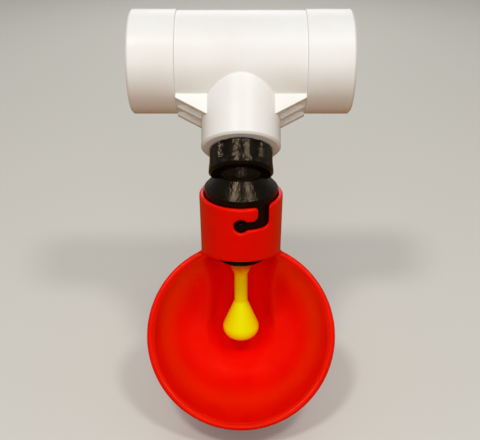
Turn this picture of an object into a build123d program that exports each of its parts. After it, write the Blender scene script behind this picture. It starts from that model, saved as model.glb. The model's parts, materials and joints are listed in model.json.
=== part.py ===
from build123d import *
from math import asin, atan2, cos, degrees, hypot, radians, sin, sqrt, tan
import os

# A poultry drinking cup that hangs from a water pipe. A white PVC tee is glued into the pipe
# line, a black elbow valve is screwed into its threaded branch, a red cup is held on the valve
# by a twist lock, and a yellow trigger hangs from the valve inside the cup's bowl.
#
# All lengths are in millimetres and all angles in degrees. The origin is where the axis of the
# pipe line crosses the axis of the tee's branch. X runs along the pipe, -Y is the front, where
# the bird drinks, and Z is up. Heights inside the valve and the cup are given as depths below
# the elbow's bend, down the upright axis of the valve.

# Pipe tee: two sockets for 1 inch pipe in line, and a branch with a 1/2 inch pipe thread
run_outer_d = 41.4
run_length = 88.0
socket_d = 33.5
socket_depth = 27.0
waterway_d = 27.0
hub_half_length = 25.5
hub_step = 0.4
mouth_chamfer = 0.8
branch_outer_d = 31.0
branch_reach = 38.4
branch_waterway_d = 17.0
thread_bore_d = 21.0
thread_depth = 16.0
web_offset = 7.3
web_thickness = 2.0
web_toe = 1.3
web_drop = 7.4
web_root = 0.8

# Elbow valve body: spigot, fluted grip, bend, cone flange and barrel with its lock pegs
branch_lean = 45.0
thread_clearance = 0.05
spigot_length = 14.5
spigot_chamfer = 1.0
bend_reach = 9.4
grip_d = 25.0
grip_length = 10.8
grip_rounding = 1.0
flute_count = 6
flute_d = 12.8
flute_depth = 1.3
flute_length = 7.0
flute_run_out = 2.5
bend_ball_d = 16.4
cone_top_d = 17.8
cone_start = 0.25
cone_end = 6.1
barrel_d = 28.6
barrel_end = 23.7
nose_d = 21.4
nose_chamfer = 0.6
inlet_bore_d = 8.0
chamber_d = 16.4
chamber_top = 11.5
peg_d = 3.0
peg_inset = 0.2
lock_count = 2

# Seals and the pieces inside the valve
o_ring_d = 2.0
o_ring_sides = 6
o_ring_depth = 20.6
o_ring_clearance = 0.03
groove_width = 2.3
seat_depth = 29.6
seat_thickness = 2.0
seat_hole_d = 6.4
retainer_length = 4.7
inside_clearance = 0.05
throat_d = 8.4
poppet_d = 10.0
poppet_lip_d = 8.0
poppet_edge = 0.6
poppet_side = 3.3
poppet_top_d = 4.0
poppet_height = 5.2
shank_d = 2.8
shank_length = 11.4
cap_d = 12.8
cap_skirt_d = 11.2
cap_skirt_gap = 2.3
cap_height = 8.2
cap_boss_d = 8.6
cap_boss_height = 2.0
spring_wire_d = 0.9
spring_mean_d = 10.2
spring_turns = 4
spring_wire_sides = 4

# Trigger, a teardrop on a stem
trigger_neck_d = 4.6
trigger_neck_length = 4.6
trigger_stop_d = 10.6
trigger_stop_gap = 1.3
trigger_stop_edge = 1.2
flare_length = 7.8
stem_d = 5.4
stem_length = 13.0
bulb_neck_length = 13.2
bulb_d = 15.2
bulb_side_r = 4.4
bulb_bottom_r = 10.35
shank_hole_spare = 0.4

# Cup: collar with two J-shaped lock slots, bowl, lip and the trough behind the trigger
collar_top = 8.3
collar_top_d = 32.7
collar_front_depth = 30.9
trough_outer_d = 31.0
running_clearance = 0.1
seat_gap = 0.3
trough_d = 26.4
trough_round_start = 70.7
rim_centre_forward = 22.43
rim_centre_depth = 59.06
mouth_lean = -47.0
rim_d = 74.5
rim_inner_d = 69.3
rim_band = 4.2
bowl_depth = 28.0
bowl_wall = 1.8
lip_bevel = 0.7
collar_edge = 0.4
mouth_corner_r = 1.0
slot_eye_d = 5.6
slot_depth = 15.7
slot_leg_height = 3.5
slot_leg_start = 6.5
slot_leg_end = 10.6
slot_outer_r = 2.2
slot_inner_r = 2.0
slot_lead_in = 0.9

# Places worked out from the sizes above
run_r = run_outer_d / 2
branch_r = branch_outer_d / 2
knee_reach = branch_reach + bend_reach
knee_y = -knee_reach * sin(radians(branch_lean))
knee_z = -knee_reach * cos(radians(branch_lean))
barrel_r = barrel_d / 2
collar_bore_r = barrel_r + running_clearance
collar_top_r = collar_top_d / 2
trough_r = trough_d / 2
trough_outer_r = trough_outer_d / 2
rim_r = rim_d / 2
retainer_top = seat_depth + seat_thickness
nose_end = retainer_top + retainer_length
shank_end = seat_depth + shank_length
past = 1.0


def side_plane(y, z, lean):
    """A plane seen from the side, for outlines to revolve or to extrude across.

    Its y axis leaves (y, z) at an angle of lean from straight down towards the front, and its
    x axis is square to that, on the front side.
    """
    front = (0, -cos(radians(lean)), sin(radians(lean)))
    return Plane(origin=(0, y, z), x_dir=front, z_dir=(1, 0, 0))


def down_plane(depth):
    """A level plane at a depth below the bend, centred on the valve's upright axis.

    Its x axis points right, its y axis to the front and its normal straight down.
    """
    return Plane(origin=(0, knee_y, knee_z - depth), x_dir=(1, 0, 0), z_dir=(0, 0, -1))


branch_side = side_plane(0, 0, branch_lean)
branch_axis = Axis(branch_side.origin, branch_side.y_dir)
valve_side = side_plane(knee_y, knee_z, 0)
valve_axis = Axis(valve_side.origin, valve_side.y_dir)
rim_y = knee_y - rim_centre_forward
rim_z = knee_z - rim_centre_depth
bowl_side = side_plane(rim_y, rim_z, mouth_lean)
bowl_axis = Axis(bowl_side.origin, bowl_side.y_dir)


def branch_plane(reach):
    """A plane square to the branch at a distance from the pipe line, facing the valve."""
    centre = branch_side.origin + branch_side.y_dir * reach
    return Plane(origin=centre, x_dir=(1, 0, 0), z_dir=branch_side.y_dir)


# The tee: a tube with sockets turned in from both ends, a branch, and thin webs that brace them
web_plane = Plane(origin=(0, 0, 0), x_dir=(1, 0, 0), z_dir=branch_side.x_dir)
web_outside = web_offset + web_thickness / 2
web_surface = sqrt(run_r**2 - web_outside**2)
web_foot = sqrt(branch_r**2 - web_outside**2)
with BuildPart() as pipe_tee:
    with BuildSketch(Plane.YZ.offset(-run_length / 2)) as run_section:
        Circle(run_r)
    extrude(amount=run_length)
    with BuildSketch(Plane.YZ.offset(-hub_half_length)) as hub_groove:
        Circle(run_r + past)
        Circle(run_r - hub_step, mode=Mode.SUBTRACT)
    extrude(amount=2 * hub_half_length, mode=Mode.SUBTRACT)
    with BuildSketch(branch_plane(0)) as branch_section:
        Circle(branch_r)
    extrude(amount=branch_reach)
    branch_rim = pipe_tee.edges().filter_by(GeomType.CIRCLE).sort_by(branch_axis)[-1]
    chamfer(branch_rim, length=mouth_chamfer)
    for side in (-1, 1):
        for offset in (-web_offset, 0, web_offset):
            with BuildSketch(web_plane.offset(offset - web_thickness / 2)) as web_outline:
                with BuildLine():
                    root = -(web_surface - web_root)
                    toe = -(web_surface + web_toe)
                    foot = toe - web_drop
                    Polyline(
                        (side * (web_foot - web_root), root),
                        (side * hub_half_length, root),
                        (side * hub_half_length, toe),
                        (side * (web_foot - web_root), foot),
                        close=True,
                    )
                make_face()
            extrude(amount=web_thickness)
    with BuildSketch(Plane.YZ.offset(-run_length / 2)) as waterway_section:
        Circle(waterway_d / 2)
    extrude(amount=run_length, mode=Mode.SUBTRACT)
    for side in (-1, 1):
        mouth = Plane(origin=(side * run_length / 2, 0, 0), z_dir=(-side, 0, 0))
        with BuildSketch(mouth) as socket_section:
            Circle(socket_d / 2)
        extrude(amount=socket_depth, mode=Mode.SUBTRACT)
    with BuildSketch(branch_plane(0)) as branch_bore:
        Circle(branch_waterway_d / 2)
    extrude(amount=branch_reach, mode=Mode.SUBTRACT)
    with BuildSketch(branch_plane(branch_reach - thread_depth)) as thread_section:
        Circle(thread_bore_d / 2)
    extrude(amount=thread_depth, mode=Mode.SUBTRACT)
    end_faces = pipe_tee.faces().filter_by(Axis.X).sort_by(Axis.X)
    for end_face in (end_faces[0], end_faces[-1]):
        chamfer(end_face.edges(), length=mouth_chamfer)
pipe_tee.part.label = "pipe_tee"

# The valve body: everything that is turned about the branch, then everything about the barrel
grip_r = grip_d / 2
grip_end = branch_reach + grip_length
flute_centre_r = grip_r - flute_depth + flute_d / 2
run_out_taper = degrees(atan2(flute_depth, flute_run_out))
spigot_r = thread_bore_d / 2 - thread_clearance
spigot_start = branch_reach - spigot_length
o_ring_middle_r = collar_bore_r - o_ring_clearance - o_ring_d / 2
groove_r = o_ring_middle_r - o_ring_d / 2 - o_ring_clearance
peg_reach = collar_top_r - peg_inset
with BuildPart() as valve_body:
    with BuildSketch(branch_side) as inlet_outline:
        with BuildLine():
            Polyline(
                (0, spigot_start),
                (spigot_r - spigot_chamfer, spigot_start),
                (spigot_r, spigot_start + spigot_chamfer),
                (spigot_r, branch_reach),
                (grip_r - grip_rounding, branch_reach),
                (grip_r, branch_reach + grip_rounding),
                (grip_r, grip_end - grip_rounding),
                (grip_r - grip_rounding, grip_end),
                (0, grip_end),
                close=True,
            )
        make_face()
    revolve(axis=branch_axis)
    with BuildSketch(branch_plane(branch_reach)) as flutes:
        with PolarLocations(flute_centre_r, flute_count):
            Circle(flute_d / 2)
    extrude(amount=flute_length, mode=Mode.SUBTRACT)
    with BuildSketch(branch_plane(branch_reach + flute_length)) as flute_ends:
        with PolarLocations(flute_centre_r, flute_count):
            Circle(flute_d / 2)
    extrude(amount=flute_run_out, taper=run_out_taper, mode=Mode.SUBTRACT)
    with Locations((0, knee_y, knee_z)):
        Sphere(bend_ball_d / 2)
    with BuildSketch(valve_side) as barrel_outline:
        with BuildLine():
            Polyline(
                (0, cone_start),
                (cone_top_d / 2, cone_start),
                (barrel_r, cone_end),
                (barrel_r, o_ring_depth - groove_width / 2),
                (groove_r, o_ring_depth - groove_width / 2),
                (groove_r, o_ring_depth + groove_width / 2),
                (barrel_r, o_ring_depth + groove_width / 2),
                (barrel_r, barrel_end),
                (nose_d / 2, barrel_end),
                (nose_d / 2, nose_end - nose_chamfer),
                (nose_d / 2 - nose_chamfer, nose_end),
                (0, nose_end),
                close=True,
            )
        make_face()
    revolve(axis=valve_axis)
    with BuildSketch(Plane.XZ.offset(-knee_y)) as peg_section:
        with Locations((0, knee_z - slot_depth)):
            Circle(peg_d / 2)
    extrude(amount=peg_reach, both=True)
    with BuildSketch(valve_side) as chamber_outline:
        with BuildLine():
            Polyline(
                (0, 0),
                (inlet_bore_d / 2, 0),
                (inlet_bore_d / 2, chamber_top),
                (chamber_d / 2, chamber_top),
                (chamber_d / 2, nose_end),
                (0, nose_end),
                close=True,
            )
        make_face()
    revolve(axis=valve_axis, mode=Mode.SUBTRACT)
    with BuildSketch(branch_plane(spigot_start)) as inlet_bore:
        Circle(inlet_bore_d / 2)
    extrude(amount=knee_reach - spigot_start, mode=Mode.SUBTRACT)
    with Locations((0, knee_y, knee_z)):
        Sphere(inlet_bore_d / 2, mode=Mode.SUBTRACT)
valve_body.part.label = "valve_body"

# The ring that holds the cup steady on the barrel, with edges that bear on bore and groove
with BuildPart() as collar_o_ring:
    with BuildSketch(valve_side) as o_ring_section:
        with Locations((o_ring_middle_r, o_ring_depth)):
            RegularPolygon(o_ring_d / 2, o_ring_sides)
    revolve(axis=valve_axis)
collar_o_ring.part.label = "collar_o_ring"

# The valve spring, wound about the cap's boss from square wire
cap_top = seat_depth - cap_height
spring_length = cap_top - chamber_top - spring_wire_d
spring_r = spring_mean_d / 2
with BuildPart() as valve_spring:
    with BuildLine(Plane((0, knee_y, knee_z - cap_top + spring_wire_d / 2))):
        coil = Helix(pitch=spring_length / spring_turns, height=spring_length, radius=spring_r)
    with BuildSketch(Plane(origin=coil @ 0, z_dir=coil % 0)):
        RegularPolygon(spring_wire_d / 2, spring_wire_sides)
    sweep(path=coil, is_frenet=True)
valve_spring.part.label = "valve_spring"

# The spring cap: a cup over the poppet's head, with a boss that centres the spring
cap_inside = seat_depth - poppet_height - seat_gap
with BuildPart() as spring_cap:
    with BuildSketch(valve_side) as cap_outline:
        with BuildLine():
            Polyline(
                (0, cap_inside),
                (0, cap_top - cap_boss_height),
                (cap_boss_d / 2, cap_top - cap_boss_height),
                (cap_boss_d / 2, cap_top),
                (cap_d / 2, cap_top),
                (cap_d / 2, seat_depth - cap_skirt_gap),
                (cap_skirt_d / 2, seat_depth - cap_skirt_gap),
                (cap_skirt_d / 2, cap_inside),
                close=True,
            )
        make_face()
    revolve(axis=valve_axis)
spring_cap.part.label = "spring_cap"

# The poppet: a blunt head that closes the seat, on a shank that holds the trigger
with BuildPart() as poppet:
    with BuildSketch(valve_side) as poppet_outline:
        with BuildLine():
            Polyline(
                (0, seat_depth - poppet_height),
                (poppet_top_d / 2, seat_depth - poppet_height),
                (poppet_d / 2, seat_depth - poppet_side),
                (poppet_d / 2, seat_depth - poppet_edge),
                (poppet_lip_d / 2, seat_depth),
                (shank_d / 2, seat_depth),
                (shank_d / 2, shank_end),
                (0, shank_end),
                close=True,
            )
        make_face()
    revolve(axis=valve_axis)
poppet.part.label = "poppet"

# The seat ring that the poppet rests on, and the bush that holds it up in the barrel
seat_r = chamber_d / 2 - inside_clearance
with BuildPart() as seat_ring:
    with BuildSketch(down_plane(seat_depth)) as seat_section:
        Circle(seat_r)
        Circle(seat_hole_d / 2, mode=Mode.SUBTRACT)
    extrude(amount=seat_thickness)
seat_ring.part.label = "seat_ring"

with BuildPart() as seat_retainer:
    with BuildSketch(down_plane(retainer_top)) as retainer_section:
        Circle(seat_r)
        Circle(throat_d / 2, mode=Mode.SUBTRACT)
    extrude(amount=retainer_length)
seat_retainer.part.label = "seat_retainer"

# The trigger: a stop flange under the barrel, a straight stem and a teardrop
stem_r = stem_d / 2
bulb_r = bulb_d / 2
side_arc_r = bulb_r - bulb_side_r
trigger_stop_top = nose_end + trigger_stop_gap
trigger_top = trigger_stop_top - trigger_neck_length
flare_end = trigger_stop_top + flare_length
bulb_start = flare_end + stem_length
bulb_widest = bulb_start + bulb_neck_length
bottom_depth = bulb_widest - sqrt((bulb_bottom_r - bulb_side_r) ** 2 - side_arc_r**2)
bottom_angle = degrees(atan2(bulb_widest - bottom_depth, side_arc_r))
stem_gap = hypot(side_arc_r - stem_r, bulb_neck_length)
taper = degrees(atan2(side_arc_r - stem_r, bulb_neck_length) + asin(bulb_side_r / stem_gap))
with BuildPart() as trigger:
    with BuildSketch(valve_side) as trigger_outline:
        with BuildLine():
            side_arc = CenterArc((side_arc_r, bulb_widest), bulb_side_r, -taper, taper + bottom_angle)
            CenterArc((0, bottom_depth), bulb_bottom_r, bottom_angle, 90 - bottom_angle)
            Polyline(
                side_arc @ 0,
                (stem_r, bulb_start),
                (stem_r, flare_end),
                (trigger_stop_d / 2, trigger_stop_top + trigger_stop_edge),
                (trigger_stop_d / 2, trigger_stop_top),
                (trigger_neck_d / 2, trigger_stop_top),
                (trigger_neck_d / 2, trigger_top),
                (0, trigger_top),
                (0, bottom_depth + bulb_bottom_r),
            )
        make_face()
    revolve(axis=valve_axis)
    with BuildSketch(down_plane(trigger_top)) as shank_hole:
        Circle(shank_d / 2 + thread_clearance)
    extrude(amount=shank_end + shank_hole_spare - trigger_top, mode=Mode.SUBTRACT)
trigger.part.label = "trigger"

# A lock slot: a round eye at the front, a level leg to the right and an upright leg to the top
leg_bottom = slot_depth + slot_leg_height / 2
leg_top = slot_depth - slot_leg_height / 2
slot_plane = Plane(origin=(0, knee_y, knee_z), x_dir=(1, 0, 0), z_dir=(0, 1, 0))
with BuildPart() as lock_slot:
    with BuildSketch(slot_plane) as slot_outline:
        with BuildLine():
            FilletPolyline(
                (0, leg_bottom),
                (slot_leg_end, leg_bottom),
                (slot_leg_end, collar_top + slot_lead_in),
                radius=slot_outer_r,
            )
            Polyline(
                (slot_leg_end, collar_top + slot_lead_in),
                (slot_leg_end + slot_lead_in, collar_top),
                (slot_leg_end + slot_lead_in, collar_top - past),
                (slot_leg_start - slot_lead_in, collar_top - past),
                (slot_leg_start - slot_lead_in, collar_top),
                (slot_leg_start, collar_top + slot_lead_in),
            )
            FilletPolyline(
                (slot_leg_start, collar_top + slot_lead_in),
                (slot_leg_start, leg_top),
                (0, leg_top),
                radius=slot_inner_r,
            )
            Line((0, leg_top), (0, leg_bottom))
        make_face()
        with Locations((0, slot_depth)):
            Circle(slot_eye_d / 2)
    extrude(amount=-(collar_top_r + past))

# The cup: collar and trough turned about the valve's axis, bowl turned about its own
bowl_inner_r = ((rim_inner_d / 2) ** 2 + bowl_depth**2) / (2 * bowl_depth)
bowl_outer_r = bowl_inner_r + bowl_wall
bowl_centre_rise = bowl_inner_r - bowl_depth
hollow_angle = degrees(asin((bowl_centre_rise + lip_bevel) / bowl_inner_r))
lip_r = bowl_inner_r * cos(radians(hollow_angle))
shell_angle = degrees(asin((bowl_centre_rise + rim_band) / bowl_outer_r))
shell_start = bowl_outer_r * cos(radians(shell_angle))
mouth_fall = tan(radians(-mouth_lean))
collar_side_depth = rim_centre_depth - rim_centre_forward * mouth_fall
front_rise = (collar_side_depth - collar_front_depth) / collar_top_r
with BuildPart() as drinking_cup:
    with BuildSketch(valve_side) as tube_outline:
        with BuildLine():
            Polyline(
                (0, trough_round_start + trough_outer_r),
                (0, collar_top),
                (collar_top_r - collar_edge, collar_top),
                (collar_top_r, collar_top + collar_edge),
                (trough_outer_r, trough_round_start),
            )
            CenterArc((0, trough_round_start), trough_outer_r, 0, 90)
        make_face()
    revolve(axis=valve_axis)
    with BuildSketch(valve_side) as mouth_outline:
        with BuildLine():
            mouth_edge = FilletPolyline(
                (rim_d, collar_side_depth + rim_d * mouth_fall),
                (0, collar_side_depth),
                (rim_d, collar_side_depth - rim_d * front_rise),
                radius=mouth_corner_r,
            )
            Line(mouth_edge @ 1, mouth_edge @ 0)
        make_face()
    extrude(amount=rim_d, both=True, mode=Mode.SUBTRACT)
    with BuildSketch(bowl_side) as bowl_outline:
        with BuildLine():
            Polyline(
                (0, bowl_depth + bowl_wall),
                (0, 0),
                (rim_r, 0),
                (rim_r, rim_band),
                (shell_start, rim_band),
            )
            CenterArc((0, -bowl_centre_rise), bowl_outer_r, shell_angle, 90 - shell_angle)
        make_face()
        chamfer(bowl_outline.vertices().group_by(Axis.X)[-1], length=lip_bevel)
    revolve(axis=bowl_axis)
    with BuildSketch(bowl_side) as bowl_hollow:
        with BuildLine():
            Polyline(
                (0, bowl_depth),
                (0, 0),
                (lip_r + lip_bevel, 0),
                (lip_r, lip_bevel),
            )
            CenterArc((0, -bowl_centre_rise), bowl_inner_r, hollow_angle, 90 - hollow_angle)
        make_face()
    revolve(axis=bowl_axis, mode=Mode.SUBTRACT)
    with BuildSketch(valve_side) as bore_outline:
        with BuildLine():
            Polyline(
                (0, trough_round_start + trough_r),
                (0, collar_top),
                (collar_bore_r + collar_edge, collar_top),
                (collar_bore_r, collar_top + collar_edge),
                (collar_bore_r, barrel_end + seat_gap),
                (trough_r, barrel_end + seat_gap),
                (trough_r, trough_round_start),
            )
            CenterArc((0, trough_round_start), trough_r, 0, 90)
        make_face()
    revolve(axis=valve_axis, mode=Mode.SUBTRACT)
    for turn in range(lock_count):
        add(lock_slot.part.rotate(valve_axis, turn * 360 / lock_count), mode=Mode.SUBTRACT)
drinking_cup.part.label = "drinking_cup"

os.makedirs("parts", exist_ok=True)
for piece in (
    pipe_tee,
    valve_body,
    collar_o_ring,
    valve_spring,
    spring_cap,
    poppet,
    seat_ring,
    seat_retainer,
    trigger,
    drinking_cup,
):
    export_step(piece.part, f"parts/{piece.part.label}.step")
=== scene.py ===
# %% [markdown]
# # A poultry drinking cup on a white pipe tee
#
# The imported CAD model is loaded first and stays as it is. It holds every piece of the drinker
# at its real size and place, in metres. This lesson gives each piece its real plastic, rubber
# or steel, makes a few pieces again with the finer curves that show in a close view, and then
# sets up the floor, the lamps and the camera.

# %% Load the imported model
import json
import math

import bmesh
import bpy
from mathutils import Matrix, Vector


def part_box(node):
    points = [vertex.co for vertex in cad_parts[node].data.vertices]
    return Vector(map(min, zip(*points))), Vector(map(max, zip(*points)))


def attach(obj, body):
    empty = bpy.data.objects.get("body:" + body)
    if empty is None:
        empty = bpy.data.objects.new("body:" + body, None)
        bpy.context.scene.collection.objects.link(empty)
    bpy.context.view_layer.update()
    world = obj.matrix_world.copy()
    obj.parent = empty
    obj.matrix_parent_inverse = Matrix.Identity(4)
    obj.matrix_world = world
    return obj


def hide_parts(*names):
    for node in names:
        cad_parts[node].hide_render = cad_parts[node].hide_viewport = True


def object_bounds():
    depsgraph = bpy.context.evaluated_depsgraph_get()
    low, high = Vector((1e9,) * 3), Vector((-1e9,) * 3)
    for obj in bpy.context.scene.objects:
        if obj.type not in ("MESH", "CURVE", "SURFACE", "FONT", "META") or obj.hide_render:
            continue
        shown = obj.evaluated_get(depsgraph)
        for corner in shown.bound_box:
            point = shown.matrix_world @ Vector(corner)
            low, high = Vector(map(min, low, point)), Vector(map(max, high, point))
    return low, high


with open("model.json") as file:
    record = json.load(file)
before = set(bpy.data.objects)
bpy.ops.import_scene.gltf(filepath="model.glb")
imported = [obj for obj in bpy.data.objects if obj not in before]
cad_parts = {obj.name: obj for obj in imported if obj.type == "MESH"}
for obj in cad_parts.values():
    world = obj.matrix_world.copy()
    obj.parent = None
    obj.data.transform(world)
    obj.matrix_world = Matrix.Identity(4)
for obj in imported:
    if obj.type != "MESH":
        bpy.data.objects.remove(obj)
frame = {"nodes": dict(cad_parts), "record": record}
cad_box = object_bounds()
for name in sorted(frame["nodes"]):
    low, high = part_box(name)
    print(name, [round(v * 1000, 1) for v in low], [round(v * 1000, 1) for v in high])

# %% [markdown]
# ## Small helpers
#
# Colours are written the way a web page writes them, as sRGB hex, and Cycles works in linear
# light, so one function turns the first into the second. All lengths on the real drinker are
# millimetres, so another turns them to metres. A third adds a shader node with its settings
# and its links, because every material below is a few nodes joined together.

# %% Helpers for colours, lengths and shader nodes
def linear(hex_colour):
    """An sRGB hex colour as linear red, green, blue and alpha."""
    parts = [int(hex_colour[i : i + 2], 16) / 255 for i in (1, 3, 5)]
    made = [p / 12.92 if p <= 0.04045 else ((p + 0.055) / 1.055) ** 2.4 for p in parts]
    return (*made, 1.0)


def mm(length):
    """A length in millimetres, in metres."""
    return length / 1000


def add_node(tree, kind, settings=None, inputs=None):
    """A new node. Settings are its own properties, and inputs are values or sockets to link."""
    made = tree.nodes.new(kind)
    for key, value in (settings or {}).items():
        setattr(made, key, value)
    for key, value in (inputs or {}).items():
        if isinstance(value, bpy.types.NodeSocket):
            tree.links.new(value, made.inputs[key])
        else:
            made.inputs[key].default_value = value
    return made


def new_material(name):
    """A material with nothing in it yet, and its node tree."""
    made = bpy.data.materials.new(name)
    made.use_nodes = True
    made.node_tree.nodes.clear()
    return made, made.node_tree


def finish_material(tree, surface):
    """Links a shader to the material's output."""
    add_node(tree, "ShaderNodeOutputMaterial", inputs={"Surface": surface})


print("1 mm is", mm(1), "m, and mid grey is", round(linear("#808080")[0], 3))

# %% [markdown]
# ## What a moulded surface is made of
#
# Every material below takes its pattern from noise, in the drinker's own coordinates, so that
# the pattern keeps its real size. The noise is a number from 0 to 1 at each point. A colour
# ramp turns it into a colour, a Map Range node into a roughness, and a Bump node into a
# surface that rises and falls. A mould's sharp edges come out slightly round, which a Bevel
# node gives to the shading.

# %% Helpers for patterns, roughness and bumps
EDGE_SAMPLES = 6


def object_place(tree):
    """Where a point is on the drinker, in metres."""
    return add_node(tree, "ShaderNodeTexCoord").outputs["Object"]


def noise(tree, place, cell, detail):
    """Noise from 0 to 1, with cells of a real size."""
    made = add_node(
        tree,
        "ShaderNodeTexNoise",
        inputs={"Vector": place, "Scale": 1 / cell, "Detail": detail},
    )
    return made.outputs["Fac"]


def rescale(tree, value, before, after):
    """Carries a number from one range into another."""
    made = add_node(
        tree,
        "ShaderNodeMapRange",
        inputs={
            "Value": value,
            "From Min": before[0],
            "From Max": before[1],
            "To Min": after[0],
            "To Max": after[1],
        },
    )
    return made.outputs["Result"]


def colour_ramp(tree, value, stops):
    """Turns a number into a colour. The stops are pairs of place and sRGB hex."""
    made = add_node(tree, "ShaderNodeValToRGB", inputs={"Fac": value})
    elements = made.color_ramp.elements
    while len(elements) < len(stops):
        elements.new(0.5)
    for element, (place, colour) in zip(elements, stops):
        element.position = place
        element.color = linear(colour)
    return made.outputs["Color"]


def round_edges(tree, radius):
    """The surface's direction, with sharp edges rounded by a radius."""
    made = add_node(tree, "ShaderNodeBevel", {"samples": EDGE_SAMPLES}, {"Radius": radius})
    return made.outputs["Normal"]


def bump(tree, height, rise, strength, normal=None):
    """The surface's direction where a height from 0 to 1 lifts it by the rise."""
    inputs = {"Height": height, "Distance": rise, "Strength": strength}
    if normal is not None:
        inputs["Normal"] = normal
    return add_node(tree, "ShaderNodeBump", inputs=inputs).outputs["Normal"]


print("each rounded edge takes", EDGE_SAMPLES, "samples")

# %% [markdown]
# ## White PVC for the pipe tee
#
# The tee is injection moulded from rigid PVC, pigmented white. Its skin is smooth but not
# polished, with a faint ripple where the melt flowed and set, and it is a little creamier
# where it is older. The ripple is a few millimetres across, so the noise that bends the
# surface has cells of that size.

# %% White PVC
def white_pvc():
    made, tree = new_material("pvc_moulded_white")
    place = object_place(tree)
    blotches = noise(tree, place, mm(22), 3.0)
    ripple = noise(tree, place, mm(5), 2.0)
    pvc = add_node(
        tree,
        "ShaderNodeBsdfPrincipled",
        inputs={
            "Base Color": colour_ramp(tree, blotches, [(0.3, "#F9F6EF"), (0.7, "#FEFDF9")]),
            "Roughness": rescale(tree, ripple, (0.0, 1.0), (0.34, 0.48)),
            "IOR": 1.53,
            "Normal": bump(tree, ripple, mm(0.06), 0.5, round_edges(tree, mm(0.6))),
        },
    )
    finish_material(tree, pvc.outputs["BSDF"])
    return made


# %% [markdown]
# ## Black plastic for the valve
#
# The elbow valve is moulded from a hard black plastic, such as acetal or nylon. It shines,
# but handling has scuffed it, so its highlights break up into warm patches. Two noises do
# that: a coarse one makes patches of the skin rougher, and a fine one dents it slightly. The
# two halves of the mould met along the valve's middle, where a thin ridge is left. A ridge
# that fine is only a bump: its height falls from 1 to 0 in the first 0.2 mm beside the middle.

# %% Black plastic
def black_plastic():
    made, tree = new_material("acetal_moulded_black")
    place = object_place(tree)
    patches = noise(tree, place, mm(3.5), 4.0)
    scuffs = noise(tree, place, mm(1.4), 5.0)
    parts = add_node(tree, "ShaderNodeSeparateXYZ", inputs={"Vector": place})
    aside = add_node(
        tree, "ShaderNodeMath", {"operation": "ABSOLUTE"}, {0: parts.outputs["X"]}
    )
    mould_line = rescale(tree, aside.outputs["Value"], (0.0, mm(0.2)), (1.0, 0.0))
    lined = bump(tree, mould_line, mm(0.1), 1.0, round_edges(tree, mm(0.4)))
    plastic = add_node(
        tree,
        "ShaderNodeBsdfPrincipled",
        inputs={
            "Base Color": colour_ramp(tree, patches, [(0.35, "#050403"), (0.75, "#0F0C09")]),
            "Roughness": rescale(tree, patches, (0.35, 0.65), (0.08, 0.24)),
            "IOR": 1.48,
            "Specular IOR Level": 0.26,
            "Specular Tint": linear("#FFDFB4"),
            "Normal": bump(tree, scuffs, mm(0.25), 0.8, lined),
        },
    )
    finish_material(tree, plastic.outputs["BSDF"])
    return made


# %% [markdown]
# ## Red plastic for the cup
#
# The cup is moulded from polypropylene in a strong red. The skin has a soft gloss, the colour
# is even, and faint rings run round the bowl where the mould was turned on a lathe. The rings
# are about the bowl's own axis, so the coordinates are first centred on the bowl and leaned
# over with it, and then a wave texture makes the rings from the distance down that axis. A
# noise stretched eight times along one way and cut off high leaves a few thin scratches.

# %% Red plastic
BOWL_LEAN = math.radians(47)
BOWL_MIDDLE = Vector((0, mm(-61.6), mm(-87.8)))


def red_plastic():
    made, tree = new_material("polypropylene_moulded_red")
    place = object_place(tree)
    flow = noise(tree, place, mm(12), 3.0)
    centred = add_node(
        tree,
        "ShaderNodeMapping",
        {"vector_type": "TEXTURE"},
        {"Vector": place, "Location": BOWL_MIDDLE, "Rotation": (BOWL_LEAN, 0, 0)},
    )
    turned = add_node(
        tree,
        "ShaderNodeTexWave",
        {"wave_type": "BANDS", "bands_direction": "Z"},
        {
            "Vector": centred.outputs["Vector"],
            "Scale": 1 / mm(25),
            "Distortion": 0.6,
            "Detail": 1.0,
        },
    )
    stretched = add_node(
        tree,
        "ShaderNodeMapping",
        inputs={"Vector": centred.outputs["Vector"], "Scale": (1.0, 0.12, 0.5)},
    )
    wear = noise(tree, stretched.outputs["Vector"], mm(3), 1.0)
    scratches = rescale(tree, wear, (0.68, 0.74), (0.0, 1.0))
    scratched = bump(tree, scratches, mm(0.05), 0.5, round_edges(tree, mm(0.4)))
    plastic = add_node(
        tree,
        "ShaderNodeBsdfPrincipled",
        inputs={
            "Base Color": colour_ramp(tree, flow, [(0.3, "#F60600"), (0.7, "#FE0E00")]),
            "Roughness": rescale(tree, flow, (0.0, 1.0), (0.2, 0.3)),
            "IOR": 1.49,
            "Specular IOR Level": 0.4,
            "Specular Tint": linear("#FF8E5A"),
            "Normal": bump(tree, turned.outputs["Fac"], mm(0.02), 0.5, scratched),
        },
    )
    finish_material(tree, plastic.outputs["BSDF"])
    return made


# %% [markdown]
# ## Yellow plastic for the trigger
#
# The trigger is moulded in a bright yellow. Its bulb is left bright yellow, while the stem and
# the flange near the valve are painted darker and more orange: painted shade, where the collar
# above them shadows them. A gradient down the upright axis of the valve gives that: a Separate
# XYZ node reads the height and a colour ramp turns it to colour. A little noise added to the
# height keeps the painted shade's edge from being a straight line.

# %% Yellow plastic
# Painted shade: the colours run from bright yellow at the bulb to darker orange at the top,
# where the collar's shadow falls on the stem and flange.
TRIGGER_PAINTED_SHADE = [
    (0.0, "#F4FF00"),
    (0.45, "#F8FF00"),
    (0.62, "#FCF400"),
    (0.80, "#FEDA00"),
    (0.87, "#E67C00"),
    (0.94, "#CC6000"),
]


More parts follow.
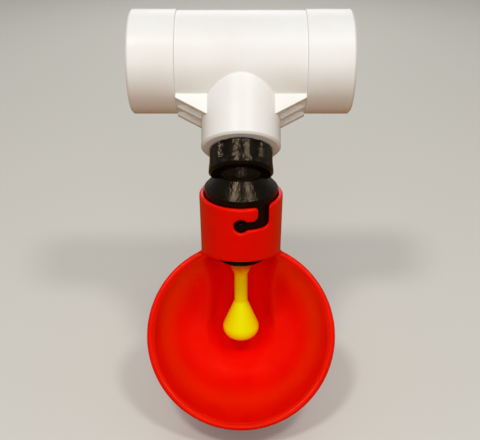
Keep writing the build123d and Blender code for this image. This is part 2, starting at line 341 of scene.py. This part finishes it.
def yellow_plastic():
    made, tree = new_material("polypropylene_moulded_yellow")
    place = object_place(tree)
    parts = add_node(tree, "ShaderNodeSeparateXYZ", inputs={"Vector": place})
    low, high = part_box("trigger")
    height = rescale(tree, parts.outputs["Z"], (low.z, high.z), (0.0, 1.0))
    # Noise that frays the edge of the painted shade, and also dents the surface a little.
    shade_edge_and_bump_noise = noise(tree, place, mm(2.5), 4.0)
    mixed = add_node(
        tree,
        "ShaderNodeMath",
        {"operation": "MULTIPLY_ADD"},
        {0: shade_edge_and_bump_noise, 1: 0.12, 2: height},
    )
    plastic = add_node(
        tree,
        "ShaderNodeBsdfPrincipled",
        inputs={
            "Base Color": colour_ramp(tree, mixed.outputs["Value"], TRIGGER_PAINTED_SHADE),
            "Roughness": 0.3,
            "IOR": 1.49,
            "Specular IOR Level": 0.2,
            "Specular Tint": linear("#FFF06A"),
            "Normal": bump(tree, shade_edge_and_bump_noise, mm(0.03), 0.4, round_edges(tree, mm(0.3))),
        },
    )
    finish_material(tree, plastic.outputs["BSDF"])
    return made


# %% [markdown]
# ## The pieces inside the valve
#
# The spring is drawn stainless wire, the seals are black nitrile rubber, and the poppet and
# the spring cap are natural white acetal. They hardly show, but each still gets its own
# finish: a fine grain on the wire, a matt bloom on the rubber and a waxy white.

# %% Rubber, acetal and spring wire
def plain_finish(name, dark, light, grain, roughness, metallic, ior, dent):
    made, tree = new_material(name)
    speckle = noise(tree, object_place(tree), grain, 3.0)
    around = (roughness - 0.08, roughness + 0.08)
    shader = add_node(
        tree,
        "ShaderNodeBsdfPrincipled",
        inputs={
            "Base Color": colour_ramp(tree, speckle, [(0.3, dark), (0.7, light)]),
            "Roughness": rescale(tree, speckle, (0.0, 1.0), around),
            "Metallic": metallic,
            "IOR": ior,
            "Normal": bump(tree, speckle, dent, 0.4),
        },
    )
    finish_material(tree, shader.outputs["BSDF"])
    return made


finishes = {
    "white_pvc": white_pvc(),
    "black_plastic": black_plastic(),
    "red_plastic": red_plastic(),
    "yellow_plastic": yellow_plastic(),
    "black_rubber": plain_finish(
        "nitrile_rubber_black", "#141414", "#222120", mm(0.8), 0.7, 0.0, 1.52, mm(0.02)
    ),
    "spring_steel": plain_finish(
        "stainless_wire_drawn", "#A9A8A4", "#C6C5C0", mm(0.3), 0.32, 1.0, 1.5, mm(0.01)
    ),
    "inner_plastic": plain_finish(
        "acetal_moulded_natural", "#E4E2DA", "#F0EEE8", mm(3.0), 0.4, 0.0, 1.48, mm(0.02)
    ),
}
print("finishes:", ", ".join(sorted(m.name for m in finishes.values())))

# %% [markdown]
# ## Give each CAD piece its finish
#
# The record says which material slot each piece takes, so the finish is looked up there and
# put in the piece's own material slot.

# %% Finish the CAD pieces
for part in frame["record"]["subparts"]:
    shown = frame["nodes"][part["node"]]
    shown.data.materials.clear()
    shown.data.materials.append(finishes[part["material_slot"]])
    print(part["node"], "is", finishes[part["material_slot"]].name)

# %% [markdown]
# ## The cup with soft mould radii
#
# On the real cup the channel behind the trigger runs into the bowl without a sharp edge, and
# fades out under the bulb. The CAD cup has those edges crisp, because a blend as large as that
# is hard to build there. Here it is easy: a copy of the CAD mesh is merged, a Remesh modifier
# gives it an even mesh, and a few passes of smoothing over all of it take away the steps that
# remeshing leaves. The vertices near the edge are then smoothed again and again, first in a
# wide zone and then in narrower ones, so that the blend has no edge of its own. The edge lies
# where two simple shapes cross, the round channel and the round bowl, so the distance from
# both tells how near a vertex is. The channel's end, under the bulb, takes the most passes.

# %% How near a point is to the channel's edge
VALVE_AXIS_Y = mm(-33.8)
CHANNEL_END_Z = mm(-104.5)
CHANNEL_RADIUS = mm(13.2)
BOWL_RADIUS = mm(35.4)


def from_channel(point):
    """How far a point is from the wall of the round-ended channel."""
    height = max(point.z, CHANNEL_END_Z)
    return abs((point - Vector((0, VALVE_AXIS_Y, height))).length - CHANNEL_RADIUS)


def from_blend(point):
    """How far a point is from the edge where the channel meets the bowl."""
    bowl = abs((point - BOWL_MIDDLE).length - BOWL_RADIUS)
    return math.hypot(from_channel(point), bowl)


channel_foot = Vector((0, VALVE_AXIS_Y, CHANNEL_END_Z - CHANNEL_RADIUS))
print("the channel's foot is", round(from_blend(channel_foot) * 1000, 2), "mm from the edge")

# %% Soft cup
EVEN_MESH_SIZE = mm(0.56)
OVERALL_PASSES = 4
COLLAR_FOOT_Z = mm(-72)
END_ZONE_Z = mm(-104)
EDGE_ZONES = ((7.0, 8), (6.0, 12), (5.0, 20), (4.0, 25), (3.0, 25))
END_ZONES = ((14.0, 15), (12.0, 30), (10.5, 50), (9.0, 80), (7.5, 100))


def smooth_often(work, verts, passes):
    for _ in range(passes):
        bmesh.ops.smooth_vert(
            work, verts=verts, factor=0.5, use_axis_x=True, use_axis_y=True, use_axis_z=True
        )


def smooth_zones(work, top, zones):
    """Smooths below a height. Each zone is a reach from the edge in mm and its passes."""
    for reach, passes in zones:
        near = [v for v in work.verts if v.co.z < top and from_blend(v.co) < mm(reach)]
        smooth_often(work, near, passes)
        print(len(near), "vertices within", reach, "mm smoothed", passes, "times")


def soft_cup(node):
    shape = node.data.copy()
    work = bmesh.new()
    work.from_mesh(shape)
    bmesh.ops.remove_doubles(work, verts=work.verts, dist=mm(0.001))
    work.to_mesh(shape)
    work.free()
    made = bpy.data.objects.new("soft_cup", shape)
    bpy.context.scene.collection.objects.link(made)
    even = made.modifiers.new("even_mesh", "REMESH")
    even.mode = "VOXEL"
    even.voxel_size = EVEN_MESH_SIZE
    view = bpy.context.evaluated_depsgraph_get()
    made.data = bpy.data.meshes.new_from_object(made.evaluated_get(view))
    made.modifiers.clear()

    work = bmesh.new()
    work.from_mesh(made.data)
    smooth_often(work, work.verts, OVERALL_PASSES)
    smooth_zones(work, COLLAR_FOOT_Z, EDGE_ZONES)
    smooth_zones(work, END_ZONE_Z, END_ZONES)
    for face in work.faces:
        face.smooth = True
    work.to_mesh(made.data)
    work.free()
    made.data.materials.clear()
    made.data.materials.append(finishes["red_plastic"])
    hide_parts("drinking_cup")
    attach(made, "cup")
    return made


soft = soft_cup(frame["nodes"]["drinking_cup"])
print("soft cup has", len(soft.data.polygons), "faces")

# %% [markdown]
# ## Round wire and a round ring
#
# Two pieces inside the valve are wound or moulded round, and the CAD has them with few sides.
# The spring is drawn wire coiled about the cap's boss. Its section is a circle, and a spin
# about the valve's upright axis that also rises a little at each step winds it into a coil.
# The seal in the barrel's groove is a plain ring: the same circle, spun once round and merged.

# %% Helpers for round pieces
def ring_section(work, middle_radius, height, radius, corners):
    """A circle of vertices that stands beside the valve's axis, ready to be spun about it."""
    made = bmesh.ops.create_circle(work, cap_ends=False, segments=corners, radius=radius)
    stand = Matrix.Translation((middle_radius, VALVE_AXIS_Y, height)) @ Matrix.Rotation(
        math.radians(90), 4, "X"
    )
    bmesh.ops.transform(work, matrix=stand, verts=made["verts"])
    return made["verts"] + work.edges[:]


def finish_piece(work, name, node, body, material_slot):
    """Turns a bmesh into a piece that stands for a CAD node."""
    bmesh.ops.recalc_face_normals(work, faces=work.faces)
    for face in work.faces:
        face.smooth = True
    shape = bpy.data.meshes.new(name)
    work.to_mesh(shape)
    work.free()
    made = bpy.data.objects.new(name, shape)
    made.data.materials.append(finishes[material_slot])
    bpy.context.scene.collection.objects.link(made)
    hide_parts(node)
    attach(made, body)
    print(name, "has", len(shape.polygons), "faces")


# %% Coil spring
WIRE_RADIUS = mm(0.44)
CAD_WIRE_HALF = mm(0.45)
SPRING_TURNS = 4
SPRING_STEPS = 48 * SPRING_TURNS
low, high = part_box("valve_spring")
coil_radius = (high.x - low.x) / 2 - CAD_WIRE_HALF
coil_rise = high.z - low.z - 2 * CAD_WIRE_HALF
wire = bmesh.new()
section = ring_section(wire, coil_radius, low.z + CAD_WIRE_HALF, WIRE_RADIUS, 14)
bmesh.ops.spin(
    wire,
    geom=section,
    cent=(0, VALVE_AXIS_Y, 0),
    axis=(0, 0, 1),
    dvec=(0, 0, coil_rise / SPRING_STEPS),
    angle=math.tau * SPRING_TURNS,
    steps=SPRING_STEPS,
    use_merge=False,
)
bmesh.ops.holes_fill(wire, edges=[e for e in wire.edges if e.is_boundary], sides=0)
finish_piece(wire, "coil_spring", "valve_spring", "fitting", "spring_steel")

# %% Round seal
SEAL_RADIUS = mm(0.97)
CAD_SEAL_HALF = mm(1.0)
low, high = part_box("collar_o_ring")
seal = bmesh.new()
section = ring_section(
    seal, high.x - CAD_SEAL_HALF, (low.z + high.z) / 2, SEAL_RADIUS, 20
)
bmesh.ops.spin(
    seal,
    geom=section,
    cent=(0, VALVE_AXIS_Y, 0),
    axis=(0, 0, 1),
    angle=math.tau,
    steps=96,
    use_merge=True,
)
finish_piece(seal, "round_seal", "collar_o_ring", "fitting", "black_rubber")

# %% [markdown]
# ## Floor, light and camera
#
# The drinker hangs from its pipe line, just above a plain pale floor that catches its shadow.
# The floor is pale to the camera only: what it throws back up at the drinker is the brown of
# the ground in the photo, which tints the underside of the tee.

# %% Floor
FLOOR_GAP = mm(6)
FLOOR_HALF_WIDTH = 1.2


def pale_floor():
    made, tree = new_material("floor_pale")
    rays = add_node(tree, "ShaderNodeLightPath")
    paint = add_node(
        tree,
        "ShaderNodeBsdfPrincipled",
        inputs={"Base Color": linear("#E8E4DA"), "Roughness": 0.7},
    )
    ground = add_node(
        tree, "ShaderNodeBsdfDiffuse", inputs={"Color": linear("#94703A")}
    )
    seen = add_node(
        tree,
        "ShaderNodeMixShader",
        inputs={
            0: rays.outputs["Is Camera Ray"],
            1: ground.outputs["BSDF"],
            2: paint.outputs["BSDF"],
        },
    )
    finish_material(tree, seen.outputs["Shader"])
    return made


floor_mesh = bpy.data.meshes.new("floor")
sheet = bmesh.new()
bmesh.ops.create_grid(sheet, x_segments=1, y_segments=1, size=FLOOR_HALF_WIDTH)
bmesh.ops.translate(sheet, verts=sheet.verts, vec=(0, 0, cad_box[0].z - FLOOR_GAP))
sheet.to_mesh(floor_mesh)
sheet.free()
floor = bpy.data.objects.new("floor", floor_mesh)
floor.data.materials.append(pale_floor())
bpy.context.scene.collection.objects.link(floor)
print("floor is", round((cad_box[0].z - FLOOR_GAP) * 1000, 1), "mm high")

# %% [markdown]
# Two small soft lamps high in front, left and right, give the two long glints that run down
# the black valve. A wide one in front reaches under the collar, and one behind lights the
# back. The even world light lifts the shadows, so that each colour shows about as it is
# written. What the camera sees past the floor is a plain pale backdrop, which lights nothing.

# %% Lamps and world light
def soft_lamp(name, place, target, size, power):
    lamp = bpy.data.lights.new(name, "AREA")
    lamp.shape = "DISK"
    lamp.size = size
    lamp.energy = power
    made = bpy.data.objects.new(name, lamp)
    made.location = place
    aim = Vector(target) - Vector(place)
    made.rotation_euler = aim.to_track_quat("-Z", "Y").to_euler()
    bpy.context.scene.collection.objects.link(made)


middle = (cad_box[0] + cad_box[1]) / 2
soft_lamp("lamp_left", (-0.24, -0.41, 0.73), middle, 0.14, 1.9)
soft_lamp("lamp_right", (0.30, -0.37, 0.73), middle, 0.14, 1.55)
soft_lamp("lamp_front", (0.0, -1.3, 0.42), middle, 1.0, 5.3)
soft_lamp("lamp_back", (0.0, 0.8, 0.4), middle, 0.5, 1.2)

world = bpy.data.worlds.new("studio")
bpy.context.scene.world = world
world.use_nodes = True
sky = world.node_tree
sky.nodes.clear()
rays = add_node(sky, "ShaderNodeLightPath")
glow = add_node(
    sky, "ShaderNodeBackground", inputs={"Color": linear("#FFFFFF"), "Strength": 0.3}
)
backdrop = add_node(
    sky, "ShaderNodeBackground", inputs={"Color": linear("#D6D3CE"), "Strength": 1.0}
)
seen = add_node(
    sky,
    "ShaderNodeMixShader",
    inputs={
        0: rays.outputs["Is Camera Ray"],
        1: glow.outputs["Background"],
        2: backdrop.outputs["Background"],
    },
)
add_node(sky, "ShaderNodeOutputWorld", inputs={"Surface": seen.outputs["Shader"]})

# %% [markdown]
# The camera stands where the photo's did: in front, a little above the pipe line, looking down
# by 27 degrees. Its lens is the one that gives the picture a focal length of 740 pixels.

# %% Camera
PHOTO_WIDTH = 480
FOCAL_PIXELS = 740
CAMERA_PITCH = 27
camera_data = bpy.data.cameras.new("camera")
camera_data.sensor_width = 36.0
camera_data.lens = FOCAL_PIXELS / PHOTO_WIDTH * camera_data.sensor_width
camera = bpy.data.objects.new("camera", camera_data)
camera.location = (-0.0004, -0.296, 0.079)
camera.rotation_euler = (math.radians(90 - CAMERA_PITCH), 0, 0)
bpy.context.scene.collection.objects.link(camera)
bpy.context.scene.camera = camera
bpy.context.scene.view_settings.view_transform = "Standard"
print("camera at", tuple(round(v, 4) for v in camera.location), "lens", camera_data.lens)
